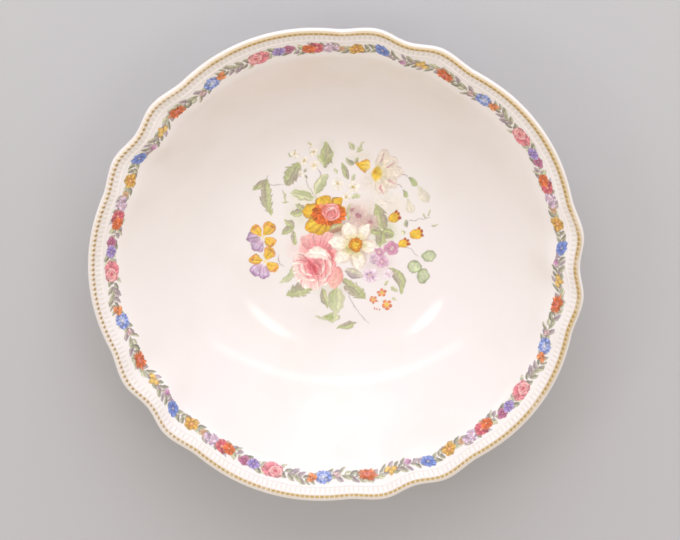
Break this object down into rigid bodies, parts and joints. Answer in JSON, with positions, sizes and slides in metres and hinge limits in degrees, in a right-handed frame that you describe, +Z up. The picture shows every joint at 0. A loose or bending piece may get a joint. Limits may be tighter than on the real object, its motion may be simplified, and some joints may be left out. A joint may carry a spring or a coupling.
{
  "type": "porcelain serving bowl",
  "caption": "Round deep porcelain serving bowl with a scalloped beaded rim, gilt line, flower garland border and a bouquet in the well.",
  "frame": {"origin": "centre of the foot ring's underside, on the surface that the bowl stands on", "axes": "+Z up, along the bowl's axis; +Y towards the top of the centre bouquet; +X through a deep notch of the rim"},
  "size_m": [0.2308, 0.2294, 0.0624],
  "materials": {
    "glazed_body": "glossy clear glaze on ivory white porcelain",
    "gilt": "worn burnished gilding on a row of beads",
    "border_enamel": "fired enamel transfer, glossy, flowers and leaves in many colours",
    "bouquet_enamel": "fired enamel transfer, glossy, flowers and leaves in many colours"
  },
  "bodies": {
    "root": {"bowl_body": "glazed_body", "gilt_line": "gilt", "border_transfer_1": "border_enamel", "border_transfer_2": "border_enamel", "border_transfer_3": "border_enamel", "border_transfer_4": "border_enamel", "border_transfer_5": "border_enamel", "centre_bouquet_transfer": "bouquet_enamel"}
  },
  "joints": []
}
